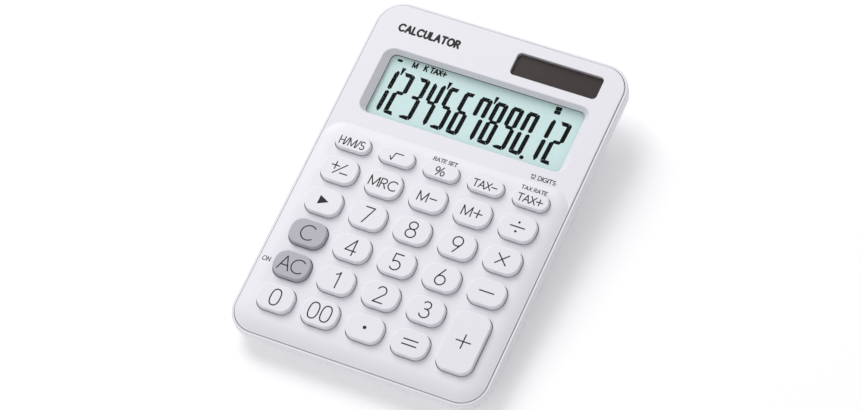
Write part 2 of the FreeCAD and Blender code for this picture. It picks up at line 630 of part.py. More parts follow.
# ================================================================ board, mat and contacts
def board_sheet(front, rear, inset, bottom, top):
    half = BOARD_WIDTH / 2 - inset
    return block(-half, half, front, rear, bottom, top)


def main_board():
    board = board_sheet(BOARD_FRONT, BOARD_REAR, 0, BOARD_BOTTOM, BOARD_TOP)
    radius = BOARD_SCREW_RADIUS + SCREW_HOLE_GAP
    holes = [rod(radius, x, y, BOARD_BOTTOM - OVERCUT, BOARD_TOP + OVERCUT)
             for x, y in board_screw_places()]
    return on_face(board.cut(holes))


def key_mat():
    """Rubber sheet with a dome under each key, drawn as the domes are when pressed flat."""
    sheet = board_sheet(BOARD_FRONT + MAT_INSET, MAT_REAR, MAT_INSET, BOARD_TOP, MAT_TOP)
    domes = []
    hollows = []
    for _, x, y, _ in key_places():
        domes.append(rod(DOME_RADIUS, x, y, BOARD_TOP, MAT_TOP + DOME_HEIGHT))
        hollows.append(rod(DOME_RADIUS - DOME_WALL, x, y, BOARD_TOP - OVERCUT,
                           BOARD_TOP + PILL_GAP + PILL_THICKNESS))
    radius = BOARD_BOSS_RADIUS + BOSS_CLEARANCE
    for x, y in board_screw_places():
        hollows.append(rod(radius, x, y, BOARD_TOP - OVERCUT, MAT_TOP + OVERCUT))
    return on_face(sheet.fuse(domes).cut(hollows).removeSplitter())


def carbon_pills():
    """Conductive discs glued inside the domes, clear of the board."""
    radius = DOME_RADIUS - DOME_WALL - PILL_GAP
    bottom = BOARD_TOP + PILL_GAP
    discs = [rod(radius, x, y, bottom, bottom + PILL_THICKNESS) for _, x, y, _ in key_places()]
    return on_face(Part.makeCompound(discs))


def processor_cover():
    """Round epoxy blob over the bare chip, on the underside of the board."""
    radius = (PROCESSOR_RADIUS ** 2 + PROCESSOR_HEIGHT ** 2) / (2 * PROCESSOR_HEIGHT)
    x = column_x(2)
    y = row_y(2) - KEY_PITCH_Y / 2
    ball = Part.makeSphere(radius, V(x, y, BOARD_BOTTOM - PROCESSOR_HEIGHT + radius))
    slab = rod(PROCESSOR_RADIUS + OVERCUT, x, y, BOARD_BOTTOM - 2 * PROCESSOR_HEIGHT, BOARD_BOTTOM)
    return on_face(ball.common(slab))


def board_components():
    """Two capacitors and three chip resistors on the underside of the board."""
    pieces = []
    y = row_y(1)
    for side in (-1, 1):
        x = side * KEY_PITCH_X / 2
        can = Part.makeCylinder(CAPACITOR_RADIUS, CAPACITOR_LENGTH,
                                V(x, y, BOARD_BOTTOM - CAPACITOR_RADIUS), V(0, 1, 0))
        pieces.append(can)
    for index in range(3):
        x = column_x(3) + index * 2 * RESISTOR_WIDTH
        pieces.append(block(x, x + RESISTOR_WIDTH, y, y + RESISTOR_LENGTH,
                            BOARD_BOTTOM - RESISTOR_HEIGHT, BOARD_BOTTOM))
    return on_face(Part.makeCompound(pieces))


# ================================================================ screws and feet
def pan_screw(x, y, seat, head_radius, head_height, shank_radius, length):
    """Pan-head screw driven upwards: the head is below the seat, the shank above it."""
    head = rod(head_radius, x, y, seat - head_height, seat)
    bottom = seat - head_height
    head = head.makeFillet(head_height * SCREW_EDGE_SHARE, edges_at(head, bottom))
    arm = head_radius * SCREW_CROSS_REACH
    half = shank_radius * SCREW_CROSS_WIDTH
    low, high = bottom - OVERCUT, bottom + head_height * SCREW_CROSS_DEPTH
    cross = [block(x - arm, x + arm, y - half, y + half, low, high),
             block(x - half, x + half, y - arm, y + arm, low, high)]
    shank = rod(shank_radius, x, y, seat - head_height / 2, seat + length)
    return head.fuse(shank).cut(cross).removeSplitter()


def board_screws():
    screws = [pan_screw(x, y, BOARD_BOTTOM, BOARD_SCREW_HEAD_RADIUS, BOARD_SCREW_HEAD_HEIGHT,
                        BOARD_SCREW_RADIUS, BOARD_SCREW_LENGTH)
              for x, y in board_screw_places()]
    return on_face(Part.makeCompound(screws))


def case_screws():
    seat = -SLAB_DEPTH + CASE_SCREW_SINK
    screws = [pan_screw(x, y, seat, CASE_SCREW_HEAD_RADIUS, CASE_SCREW_HEAD_HEIGHT,
                        CASE_SCREW_RADIUS, CASE_SCREW_LENGTH)
              for x, y in case_screw_places()]
    return on_face(Part.makeCompound(screws))


def rubber_feet():
    feet = []
    for x, y in foot_places():
        foot = rod(FOOT_RADIUS, x, y, 0, FOOT_PROUD + FOOT_SEAT_DEPTH)
        feet.append(foot.makeFillet(FOOT_EDGE_ROUND, edges_at(foot, 0)))
    return Part.makeCompound(feet)


# ================================================================ button cell
def button_cell():
    bottom = WEDGE_FLOOR + STRIP_THICKNESS
    shoulder = bottom + CELL_HEIGHT - CELL_CAP_HEIGHT
    can = rod(CELL_RADIUS, CELL_X, CELL_Y, bottom, shoulder)
    can = can.makeFillet(CELL_EDGE_ROUND, edges_at(can, shoulder) + edges_at(can, bottom))
    cap = rod(CELL_CAP_RADIUS, CELL_X, CELL_Y, shoulder - CELL_HEIGHT / 2, bottom + CELL_HEIGHT)
    return can.fuse(cap).removeSplitter()


def lower_contact():
    """Flat strip under the cell that leaves the cup through its notch."""
    return block(CELL_X - CELL_RADIUS / 2, CELL_X + CUP_OUTER + STRIP_REACH,
                 CELL_Y - STRIP_WIDTH / 2, CELL_Y + STRIP_WIDTH / 2,
                 WEDGE_FLOOR, WEDGE_FLOOR + STRIP_THICKNESS)


def upper_contact():
    """Bridge over the cell with a leg down to the floor on the far side of the cup."""
    top = WEDGE_FLOOR + STRIP_THICKNESS + CELL_HEIGHT
    leg_outer = CELL_X - CUP_OUTER - CUP_GAP - STRIP_THICKNESS
    low, high = CELL_Y - STRIP_WIDTH / 2, CELL_Y + STRIP_WIDTH / 2
    bridge = block(leg_outer, CELL_X + CELL_RADIUS / 2, low, high, top, top + STRIP_THICKNESS)
    leg = block(leg_outer, leg_outer + STRIP_THICKNESS, low, high, WEDGE_FLOOR, top)
    toe = block(leg_outer - STRIP_REACH, leg_outer, low, high,
                WEDGE_FLOOR, WEDGE_FLOOR + STRIP_THICKNESS)
    return bridge.fuse([leg, toe]).removeSplitter()


def battery_leads():
    """Leads from the two contact strips to the underside of the board."""
    leads = []
    starts = (CELL_X + CUP_OUTER + STRIP_REACH / 2,
              CELL_X - CUP_OUTER - CUP_GAP - STRIP_THICKNESS - STRIP_REACH / 2)
    end_y = BOARD_REAR - CONNECTOR_BOND
    for x in starts:
        below_board = desk_point(x, end_y, BOARD_BOTTOM - LEAD_DROP)
        points = [V(x, CELL_Y, WEDGE_FLOOR + STRIP_THICKNESS), V(x, CELL_Y, below_board.z),
                  below_board, desk_point(x, end_y, BOARD_BOTTOM)]
        leads.append(run_of_wire(points, LEAD_RADIUS))
    return Part.makeCompound(leads)


# ================================================================ assembly
def assembly():
    """Every node of the calculator by name."""
    nodes = {
        "upper_case": upper_case(),
        "lower_case": lower_case(),
        "display_gasket": display_gasket(),
        "display_window": display_sheet(WINDOW_TOP, WINDOW_THICKNESS),
        "front_polariser": display_sheet(POLARISER_TOP, POLARISER_THICKNESS),
        "front_glass": display_sheet(FRONT_GLASS_TOP, GLASS_THICKNESS),
        "rear_glass": display_sheet(REAR_GLASS_TOP, GLASS_THICKNESS, GLASS_LEDGE),
        "display_reflector": display_sheet(REFLECTOR_TOP, POLARISER_THICKNESS),
        "display_connector": display_connector(),
        "solar_window": solar_window(),
        "solar_cell": solar_cell(),
        "solar_leads": solar_leads(),
        "main_board": main_board(),
        "processor_cover": processor_cover(),
        "board_components": board_components(),
        "key_mat": key_mat(),
        "carbon_pills": carbon_pills(),
        "board_screws": board_screws(),
        "case_screws": case_screws(),
        "rubber_feet": rubber_feet(),
        "button_cell": button_cell(),
        "lower_contact": lower_contact(),
        "upper_contact": upper_contact(),
        "battery_leads": battery_leads(),
    }
    for name, x, y, length in key_places():
        nodes["key_" + name] = key_cap(x, y, length)
    return nodes


def main():
    os.makedirs("parts", exist_ok=True)
    for name, shape in assembly().items():
        shape.exportStep(os.path.join("parts", name + ".step"))


main()
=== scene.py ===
"""Desk calculator: finishes, printed legends, display image, lights and camera.

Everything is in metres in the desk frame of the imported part. Sizes on the sloping face are given
in millimetres in the face frame: x to the right, y up the face, z out of it, with z = 0 at the
face's edge.
"""
import json
import math

import bmesh
import bpy
from mathutils import Matrix, Vector
from mathutils.bvhtree import BVHTree

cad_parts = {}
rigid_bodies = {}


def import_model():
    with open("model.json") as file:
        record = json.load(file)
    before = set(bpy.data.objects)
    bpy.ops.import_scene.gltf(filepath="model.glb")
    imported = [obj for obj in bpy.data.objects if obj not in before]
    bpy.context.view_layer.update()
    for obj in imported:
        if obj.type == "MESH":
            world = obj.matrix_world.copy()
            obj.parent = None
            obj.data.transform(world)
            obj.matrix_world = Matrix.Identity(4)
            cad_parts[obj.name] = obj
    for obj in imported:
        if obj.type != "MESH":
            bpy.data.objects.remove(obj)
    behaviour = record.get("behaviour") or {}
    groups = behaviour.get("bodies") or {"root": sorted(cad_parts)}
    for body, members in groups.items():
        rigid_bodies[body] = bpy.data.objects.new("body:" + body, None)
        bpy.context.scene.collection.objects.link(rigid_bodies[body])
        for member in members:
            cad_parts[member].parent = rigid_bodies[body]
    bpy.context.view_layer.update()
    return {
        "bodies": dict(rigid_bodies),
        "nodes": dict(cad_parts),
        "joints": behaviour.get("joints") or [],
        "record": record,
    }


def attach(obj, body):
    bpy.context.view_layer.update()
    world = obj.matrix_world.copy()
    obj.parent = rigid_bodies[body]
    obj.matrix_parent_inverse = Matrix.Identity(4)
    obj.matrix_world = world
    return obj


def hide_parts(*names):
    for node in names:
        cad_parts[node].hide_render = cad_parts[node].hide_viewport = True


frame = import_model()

MM = 0.001


# ================================================================ the sloping face
RIM_DROP = 0.45                # lip below the edge of the face


def face_frame():
    """Matrix from face millimetres to the desk frame, from the keys' travel and the shells."""
    travel = Vector(frame["joints"][0]["axis"])
    tilt = Matrix.Rotation(math.atan2(travel.y, -travel.z), 4, "X")
    level = tilt.inverted()
    rim = [level @ v.co for v in frame["nodes"]["lower_case"].data.vertices]
    face = [level @ v.co for v in frame["nodes"]["upper_case"].data.vertices]
    middle = (min(v.y for v in face) + max(v.y for v in face)) / 2
    centre = Vector((0, middle, max(v.z for v in rim) + RIM_DROP * MM))
    return Matrix.Translation(tilt @ centre) @ tilt @ Matrix.Scale(MM, 4)


FACE = face_frame()
FACE_INVERSE = FACE.inverted()


def on_face(x, y, z):
    return FACE @ Vector((x, y, z))


def face_points(node):
    """A node's vertices in face millimetres."""
    return [FACE_INVERSE @ v.co for v in frame["nodes"][node].data.vertices]


def face_box(node):
    """Lowest and highest corner of a node in face millimetres."""
    points = face_points(node)
    return (Vector([min(p[i] for p in points) for i in range(3)]),
            Vector([max(p[i] for p in points) for i in range(3)]))


class Surface:
    """The outside of a node, seen straight down on the face."""

    DROP = 50.0

    def __init__(self, node):
        polygons = [list(p.vertices) for p in frame["nodes"][node].data.polygons]
        self.tree = BVHTree.FromPolygons(face_points(node), polygons)

    def height(self, x, y):
        hit = self.tree.ray_cast(Vector((x, y, self.DROP)), Vector((0, 0, -1)))
        return hit[0].z


# ================================================================ meshes
def piece(name, verts, faces, finish, body):
    """New mesh object from face-millimetre points, riding on a body."""
    mesh = bpy.data.meshes.new(name)
    mesh.from_pydata([on_face(*v) for v in verts], [], faces)
    built = bmesh.new()
    built.from_mesh(mesh)
    bmesh.ops.recalc_face_normals(built, faces=built.faces)
    built.to_mesh(mesh)
    built.free()
    mesh.materials.append(finish)
    obj = bpy.data.objects.new(name, mesh)
    bpy.context.scene.collection.objects.link(obj)
    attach(obj, body)
    return obj


class Solid:
    """Points and faces of several closed solids that make one piece."""

    def __init__(self):
        self.verts = []
        self.faces = []

    def rows(self, rows, closed):
        """Skin over rows of points of the same length; closed rows run back to the first row."""
        start = len(self.verts)
        width = len(rows[0])
        for row in rows:
            self.verts += row
        count = len(rows)
        for i in range(count if closed else count - 1):
            for j in range(width):
                a, b = i * width + j, i * width + (j + 1) % width
                c, d = (i + 1) % count * width + (j + 1) % width, (i + 1) % count * width + j
                self.faces.append([start + k for k in (a, b, c, d)])
        if not closed:
            self.faces.append([start + k for k in range(width)])
            self.faces.append([start + (count - 1) * width + k for k in range(width)])

    def plate(self, outline, low, high):
        """Upright prism over an outline."""
        self.rows([[(x, y, z) for x, y in outline] for z in (low, high)], False)


def arc(cx, cy, rx, ry, start, end, steps=20):
    """Points on an ellipse from one angle to another, in degrees."""
    angles = [math.radians(start + (end - start) * i / steps) for i in range(steps + 1)]
    return [(cx + rx * math.cos(a), cy + ry * math.sin(a)) for a in angles]


def oval(cx, cy, rx, ry, squareness=2.0, steps=48):
    """Closed ring; squareness above 2 fills its corners out."""
    points = []
    for i in range(steps):
        c, s = math.cos(2 * math.pi * i / steps), math.sin(2 * math.pi * i / steps)
        power = 2 / squareness
        points.append((cx + rx * math.copysign(abs(c) ** power, c),
                       cy + ry * math.copysign(abs(s) ** power, s)))
    return points


def rounded_outline(x0, x1, y0, y1, radius, steps=10):
    """Rounded rectangle as a ring of points."""
    return (arc(x1 - radius, y0 + radius, radius, radius, -90, 0, steps)
            + arc(x1 - radius, y1 - radius, radius, radius, 0, 90, steps)
            + arc(x0 + radius, y1 - radius, radius, radius, 90, 180, steps)
            + arc(x0 + radius, y0 + radius, radius, radius, 180, 270, steps))


# ================================================================ drawn strokes
INK_THICKNESS = 0.02
INK_LAYER = 0.002              # one stroke over the next
INK_ROOT = 0.02
CAP_ANGLES = (0, 25, 48, 68, 84)


def loop(points):
    """Marks a stroke as a closed ring."""
    return ("loop", points)


def stroke_rows(points, half, closed):
    """Centre, direction across and half width of each cross-section of a stroke."""
    count = len(points)
    rows = []
    for i, here in enumerate(points):
        before = points[(i - 1) % count] if closed or i else here
        after = points[(i + 1) % count] if closed or i < count - 1 else here
        along = (Vector(after) - Vector(before)).normalized()
        rows.append((Vector(here), along, half))
    if closed:
        return rows
    ends = []
    for place, sign in ((rows[0], -1), (rows[-1], 1)):
        centre, along, _ = place
        cap = [(centre + along * sign * half * math.sin(math.radians(a)), along,
                half * math.cos(math.radians(a))) for a in CAP_ANGLES]
        ends.append(cap)
    return ends[0][::-1] + rows[1:-1] + ends[1]


def draw(solid, strokes, pen, height, root=INK_ROOT):
    """Adds raised strokes to a solid; height(x, y) is the surface they are printed on."""
    for layer, stroke in enumerate(strokes):
        closed = stroke[0] == "loop"
        points = stroke[1] if closed else stroke
        rows = []
        for centre, along, half in stroke_rows(points, pen / 2, closed):
            across = Vector((-along.y, along.x)) * half
            left, right = centre + across, centre - across
            rise = INK_THICKNESS + layer * INK_LAYER
            left_z, right_z = height(*left), height(*right)
            rows.append([(*left, left_z + rise), (*right, right_z + rise),
                         (*right, right_z - root), (*left, left_z - root)])
        solid.rows(rows, closed)


def finely(points, step=0.5):
    """A straight stroke cut into short lengths, so that it follows a curved surface."""
    made = [points[0]]
    for start, end in zip(points, points[1:]):
        a, b = Vector(start), Vector(end)
        count = max(1, math.ceil((b - a).length / step))
        made += [tuple(a.lerp(b, (i + 1) / count)) for i in range(count)]
    return made


# ================================================================ letters and signs, one unit tall
def bowl(cx, cy, rx, ry, start, end):
    return arc(cx, cy, rx, ry, start, end, 24)


GLYPHS = {
    "0": (0.575, [loop(oval(0.2875, 0.5, 0.2875, 0.5, 2.5))]),
    "1": (0.25, [arc(0.0, 1.03, 0.24, 0.2, 275, 345, 8), [(0.25, 1.0), (0.25, 0.0)]]),
    "2": (0.58, [bowl(0.29, 0.715, 0.265, 0.285, 158, -28), [(0.524, 0.58), (0.0, 0.0)],
                 [(0.0, 0.0), (0.58, 0.0)]]),
    "3": (0.57, [bowl(0.275, 0.77, 0.235, 0.23, 148, -88), [(0.2, 0.54), (0.29, 0.54)],
                 bowl(0.28, 0.27, 0.285, 0.27, 88, -160)]),
    "4": (0.66, [[(0.49, 0.0), (0.49, 1.0)], [(0.49, 1.0), (0.0, 0.28)],
                 [(0.0, 0.28), (0.66, 0.28)]]),
    "5": (0.59, [[(0.56, 1.0), (0.08, 1.0)], [(0.08, 1.0), (0.06, 0.54)],
                 bowl(0.29, 0.29, 0.3, 0.29, 134, -146)]),
    "6": (0.59, [loop(oval(0.295, 0.295, 0.295, 0.295)), [(0.36, 1.0), (0.045, 0.45)]]),
    "7": (0.56, [[(0.0, 1.0), (0.56, 1.0)], [(0.56, 1.0), (0.12, 0.0)]]),
    "8": (0.6, [loop(oval(0.3, 0.765, 0.25, 0.235)), loop(oval(0.3, 0.265, 0.3, 0.265))]),
    "9": (0.59, [loop(oval(0.295, 0.705, 0.295, 0.295)), [(0.545, 0.55), (0.22, 0.0)]]),
    "A": (0.78, [[(0.0, 0.0), (0.39, 1.0)], [(0.39, 1.0), (0.78, 0.0)],
                 [(0.13, 0.34), (0.65, 0.34)]]),
    "C": (0.86, [bowl(0.5, 0.5, 0.5, 0.5, 48, 312)]),
    "D": (0.7, [[(0.0, 0.0), (0.0, 1.0)], [(0.0, 1.0), (0.25, 1.0)],
                bowl(0.25, 0.5, 0.45, 0.5, 90, -90), [(0.25, 0.0), (0.0, 0.0)]]),
    "E": (0.54, [[(0.54, 1.0), (0.0, 1.0)], [(0.0, 1.0), (0.0, 0.0)], [(0.0, 0.0), (0.54, 0.0)],
                 [(0.0, 0.53), (0.48, 0.53)]]),
    "G": (0.88, [bowl(0.48, 0.5, 0.48, 0.5, 48, 360), [(0.96, 0.46), (0.56, 0.46)]]),
    "H": (0.6, [[(0.0, 0.0), (0.0, 1.0)], [(0.6, 0.0), (0.6, 1.0)], [(0.0, 0.52), (0.6, 0.52)]]),
    "I": (0.0, [[(0.0, 0.0), (0.0, 1.0)]]),
    "K": (0.62, [[(0.0, 0.0), (0.0, 1.0)], [(0.6, 1.0), (0.04, 0.44)], [(0.2, 0.58), (0.62, 0.0)]]),
    "L": (0.5, [[(0.0, 1.0), (0.0, 0.0)], [(0.0, 0.0), (0.5, 0.0)]]),
    "M": (0.96, [[(0.0, 0.0), (0.03, 1.0)], [(0.03, 1.0), (0.48, 0.04)],
                 [(0.48, 0.04), (0.93, 1.0)], [(0.93, 1.0), (0.96, 0.0)]]),
    "N": (0.68, [[(0.0, 0.0), (0.0, 1.0)], [(0.0, 1.0), (0.68, 0.0)], [(0.68, 0.0), (0.68, 1.0)]]),
    "O": (0.92, [loop(oval(0.46, 0.5, 0.46, 0.5, 2.2))]),
    "R": (0.62, [[(0.0, 0.0), (0.0, 1.0)], [(0.0, 1.0), (0.3, 1.0)],
                 bowl(0.3, 0.745, 0.28, 0.255, 90, -90), [(0.3, 0.49), (0.0, 0.49)],
                 [(0.3, 0.49), (0.62, 0.0)]]),
    "S": (0.58, [bowl(0.29, 0.745, 0.25, 0.255, 38, 262)
                 + bowl(0.29, 0.255, 0.29, 0.255, 92, -142)]),
    "T": (0.72, [[(0.0, 1.0), (0.72, 1.0)], [(0.36, 1.0), (0.36, 0.0)]]),
    "U": (0.66, [[(0.0, 1.0), (0.0, 0.33)], bowl(0.33, 0.33, 0.33, 0.33, 180, 360),
                 [(0.66, 0.33), (0.66, 1.0)]]),
    "X": (0.72, [[(0.02, 1.0), (0.72, 0.0)], [(0.7, 1.0), (0.0, 0.0)]]),
    "/": (0.38, [[(0.0, 0.0), (0.38, 1.0)]]),
    "+": (0.84, [[(0.0, 0.5), (0.84, 0.5)], [(0.42, 0.08), (0.42, 0.92)]]),
    "-": (0.7, [[(0.0, 0.5), (0.7, 0.5)]]),
    " ": (0.25, []),
}


def write(text, height, centre, stretch=1.0, gap=0.2):
    """Strokes of a line of text, centred on a place; stretch widens the letters.

    The gap between letters is a share of their height.
    """
    widths = [GLYPHS[letter][0] * stretch for letter in text]
    x = -(sum(widths) + gap * (len(text) - 1)) / 2
    placed = []
    for letter, width in zip(text, widths):
        for stroke in GLYPHS[letter][1]:
            closed = stroke[0] == "loop"
            points = stroke[1] if closed else stroke
            moved = [(centre[0] + (x + px * stretch) * height, centre[1] + (py - 0.5) * height)
                     for px, py in points]
            placed.append(loop(moved) if closed else moved)
        x += width + gap
    return placed


def dot(cx, cy, radius):
    """Outline of a round dot."""
    return oval(cx, cy, radius, radius, 2.0, 32)


# ================================================================ shader values
class Value:
    """A number that varies over a surface; arithmetic on it adds Math nodes."""

    def __init__(self, finish, socket):
        self.finish = finish
        self.socket = socket

    def _join(self, operation, first, second):
        return self.finish.node("Math", {"operation": operation}, {0: first, 1: second})

    def __add__(self, other):
        return self._join("ADD", self, other)

    def __sub__(self, other):
        return self._join("SUBTRACT", self, other)

    def __rsub__(self, other):
        return self._join("SUBTRACT", other, self)

    def __mul__(self, other):
        return self._join("MULTIPLY", self, other)

    __radd__ = __add__
    __rmul__ = __mul__


class Finish:
    """One material: a Principled shader and the nodes that vary it."""

    def __init__(self, name, **constants):
        self.material = bpy.data.materials.new(name)
        self.material.use_nodes = True
        self.tree = self.material.node_tree
        self.shader = self.tree.nodes["Principled BSDF"]
        for socket, number in constants.items():
            self.shader.inputs[socket.replace("_", " ")].default_value = number

    def feed(self, socket, value):
        if isinstance(value, Value):
            self.tree.links.new(value.socket, socket)
        else:
            socket.default_value = value

    def node(self, kind, settings=None, inputs=None, output=0):
        """Adds a node: its settings first, then the values or links of its sockets."""
        made = self.tree.nodes.new("ShaderNode" + kind)
        for key, setting in (settings or {}).items():
            setattr(made, key, setting)
        for key, value in (inputs or {}).items():
            self.feed(made.inputs[key], value)
        return Value(self, made.outputs[output])

    def place(self):
        """Where a point is on the object, in metres."""
        return self.node("TexCoord", output="Object")

    def noise(self, size, detail=2.0, roughness=0.5):
        """Cloudy pattern from 0 to 1 with patches about size metres across."""
        return self.node("TexNoise", None, {"Vector": self.place(), "Scale": 1 / size,
                                            "Detail": detail, "Roughness": roughness})

    def cells(self, size):
        """Distance to the middle of the nearest of many cells about size metres across."""
        return self.node("TexVoronoi", None, {"Vector": self.place(), "Scale": 1 / size})

    def blend(self, factor, first, second):
        """Colour between two colours."""
        return self.node("Mix", {"data_type": "RGBA"}, {0: factor, 6: first, 7: second}, 2)

    def span(self, value, low, high):
        """A pattern from 0 to 1 stretched between two numbers."""
        return value * (high - low) + low

    def relief(self, *layers):
        """Bump from layers of (pattern, depth in metres)."""
        height = 0.0
        for pattern, depth in layers:
            height = pattern * depth + height
        normal = self.node("Bump", None, {"Strength": 1.0, "Distance": 1.0, "Height": height})
        self.feed(self.shader.inputs["Normal"], normal)

    def set(self, socket, value):
        self.feed(self.shader.inputs[socket], value)

    def vary(self, socket, pattern, middle, reach):
        """Drives a socket with a pattern, to reach below and above a middle value."""
        self.set(socket, self.span(pattern, middle - reach, middle + reach))


# ================================================================ finishes
PLASTIC_IOR = 1.5
ACRYLIC_IOR = 1.49
GLASS_IOR = 1.52
WAVINESS = 0.000004            # depth of the soft waves in a clear cover, in metres
INK_RELIEF = 0.000006


def moulded(name, light, dark, roughness, grain, depth):
    """Moulded plastic: faint clouding of the colour, a fine eroded grain and uneven gloss."""
    finish = Finish(name, IOR=PLASTIC_IOR)
    cloud = finish.noise(0.018, 3.0)
    speck = finish.noise(grain * 4, 2.0)
    finish.set("Base Color", finish.blend(cloud * 0.7 + speck * 0.3, dark, light))
    fine = finish.noise(grain, 2.0, 0.6)
    finish.vary("Roughness", speck, roughness, 0.06)
    finish.relief((fine, depth), (speck, depth))
    return finish.material


def case_plastic():
    return moulded("case_plastic", (0.815, 0.805, 0.85, 1), (0.795, 0.785, 0.832, 1),
                   roughness=0.42, grain=0.00022, depth=0.000006)


def white_key_plastic():
    return moulded("white_key_plastic", (0.83, 0.82, 0.862, 1), (0.812, 0.802, 0.845, 1),
                   roughness=0.36, grain=0.00016, depth=0.000004)


def grey_key_plastic():
    return moulded("grey_key_plastic", (0.45, 0.437, 0.49, 1), (0.43, 0.418, 0.47, 1),
                   roughness=0.38, grain=0.00016, depth=0.000004)


def clear_window():
    """Clear acrylic: almost all of it lets light straight through."""
    finish = Finish("clear_window", IOR=ACRYLIC_IOR)
    finish.set("Base Color", (0.3, 0.32, 0.32, 1))
    haze = finish.noise(0.006, 2.0)
    finish.set("Roughness", finish.span(haze, 0.03, 0.07))
    finish.set("Alpha", finish.span(haze, 0.015, 0.025))
    finish.relief((finish.noise(0.012), WAVINESS))
    return finish.material


def solar_window_finish():
    """Clear cover over the dark cell."""
    finish = Finish("solar_window", Specular_IOR_Level=0.4)
    finish.set("Base Color", (0.05, 0.04, 0.04, 1))
    haze = finish.noise(0.006, 2.0)
    finish.set("Roughness", finish.span(haze, 0.1, 0.16))
    finish.set("Alpha", finish.span(haze, 0.1, 0.13))
    finish.relief((finish.noise(0.012), WAVINESS))
    return finish.material


DISPLAY_PAINTED_GLOW = 0.35            # painted light: the display film glows in its own tint to lift the shadow the surround casts on it


def display_film():
    """Matt polariser over a grey-green reflective display, with a painted glow of its own tint that
    lifts the shadow cast on it.
    """
    finish = Finish("display_film", Specular_IOR_Level=0.3)
    sparkle = finish.noise(0.00009, 1.0)
    cloud = finish.noise(0.02, 2.0)
    tint = finish.blend(cloud * 0.5 + sparkle * 0.5, (0.42, 0.565, 0.56, 1), (0.5, 0.645, 0.635, 1))
    finish.set("Base Color", tint)
    # painted light: a faint glow in the film's own tint, though a reflective display gives off no
    # light
    finish.set("Emission Color", tint)
    finish.set("Emission Strength", DISPLAY_PAINTED_GLOW)
    finish.set("Roughness", finish.span(sparkle, 0.3, 0.45))
    finish.relief((sparkle, 0.000002))
    return finish.material


def display_glass():
    finish = Finish("display_glass", IOR=GLASS_IOR)
    cloud = finish.noise(0.01)
    finish.set("Base Color", finish.blend(cloud, (0.45, 0.55, 0.54, 1), (0.5, 0.6, 0.58, 1)))
    finish.set("Roughness", finish.span(cloud, 0.03, 0.08))
    finish.relief((cloud, 0.000003))
    return finish.material


def gasket_foam():
    """Black closed-cell foam tape. Its black inner wall at the display opening is partly painted
    shade: it stands for the dark shadow line at the display's edge.
    """
    finish = Finish("gasket_foam")
    cells = finish.cells(0.0003)
    finish.set("Base Color", finish.blend(cells, (0.012, 0.014, 0.016, 1), (0.03, 0.033, 0.035, 1)))
    finish.set("Roughness", finish.span(cells, 0.7, 0.95))
    finish.relief((cells, 0.00003))
    return finish.material


CONDUCTOR_SCALE = 320.0


def ribbon_film():
    """Ribbon connector: fine conductor lines across an amber film."""
    finish = Finish("ribbon_film")
    lines = finish.node("TexWave", {"wave_type": "BANDS", "bands_direction": "X"},
                        {"Vector": finish.place(), "Scale": CONDUCTOR_SCALE,
                         "Distortion": 0.0}, 1)
    finish.set("Base Color", finish.blend(lines, (0.32, 0.16, 0.04, 1), (0.55, 0.33, 0.1, 1)))
    finish.set("Roughness", finish.span(lines, 0.3, 0.5))
    finish.relief((lines, 0.00001))
    return finish.material


SOLAR_STRIPS = 4
SOLAR_CUT = 0.00012            # half the width of a cut line, in metres


def solar_glass():
    """Amorphous silicon: dark brown strips between faint cut lines."""
    low, high = face_box("solar_cell")
    finish = Finish("solar_glass", Specular_IOR_Level=0.15)
    across = finish.node("SeparateXYZ", None, {0: finish.place()})
    strip = (high.x - low.x) * MM / SOLAR_STRIPS
    part = finish.node("Math", {"operation": "PINGPONG"},
                       {0: across - low.x * MM, 1: strip / 2})
    cut = finish.node("Math", {"operation": "LESS_THAN"}, {0: part, 1: SOLAR_CUT})
    cloud = finish.noise(0.004, 3.0)
    base = finish.blend(cloud, (0.045, 0.031, 0.029, 1), (0.051, 0.036, 0.034, 1))
    finish.set("Base Color", finish.blend(cut * 0.25, base, (0.1, 0.085, 0.08, 1)))
    finish.set("Roughness", finish.span(cloud, 0.3, 0.4))
    finish.relief((cut, -0.000006), (cloud, 0.000002))
    return finish.material


def lead_sleeve():
    return moulded("lead_sleeve", (0.5, 0.03, 0.025, 1), (0.4, 0.022, 0.02, 1),
                   roughness=0.4, grain=0.0004, depth=0.00001)


FIBRE_SCALE = 900.0


def board_laminate():
    """Paper laminate: fibres under a green mask."""
    finish = Finish("board_laminate")
    fibre = finish.node("TexNoise", None, {"Vector": finish.place(), "Scale": FIBRE_SCALE,
                                           "Detail": 4.0, "Distortion": 1.5})
    cloud = finish.noise(0.012)
    finish.set("Base Color", finish.blend(fibre * 0.6 + cloud * 0.4, (0.03, 0.12, 0.05, 1),
                                          (0.06, 0.2, 0.09, 1)))
    finish.set("Roughness", finish.span(fibre, 0.35, 0.55))
    finish.relief((fibre, 0.00001))
    return finish.material


def black_epoxy():
    return moulded("black_epoxy", (0.02, 0.02, 0.022, 1), (0.01, 0.01, 0.011, 1),
                   roughness=0.3, grain=0.0006, depth=0.00002)


def rubber(name, light, dark, roughness):
    """Moulded rubber: matt, with a powdery bloom and a soft pitted skin."""
    finish = Finish(name)
    bloom = finish.noise(0.002, 4.0, 0.6)
    pits = finish.cells(0.00025)
    finish.set("Base Color", finish.blend(bloom, dark, light))
    finish.vary("Roughness", bloom, roughness, 0.08)
    finish.relief((pits, 0.00001), (bloom, 0.00001))
    return finish.material


def mat_rubber():
    return rubber("mat_rubber", (0.62, 0.62, 0.6, 1), (0.55, 0.55, 0.53, 1), roughness=0.6)


def carbon_rubber():
    return rubber("carbon_rubber", (0.03, 0.03, 0.03, 1), (0.015, 0.015, 0.016, 1),
                  roughness=0.75)


def foot_rubber():
    return rubber("foot_rubber", (0.36, 0.36, 0.37, 1), (0.3, 0.3, 0.31, 1), roughness=0.8)


MARK_SCALE = 2500.0


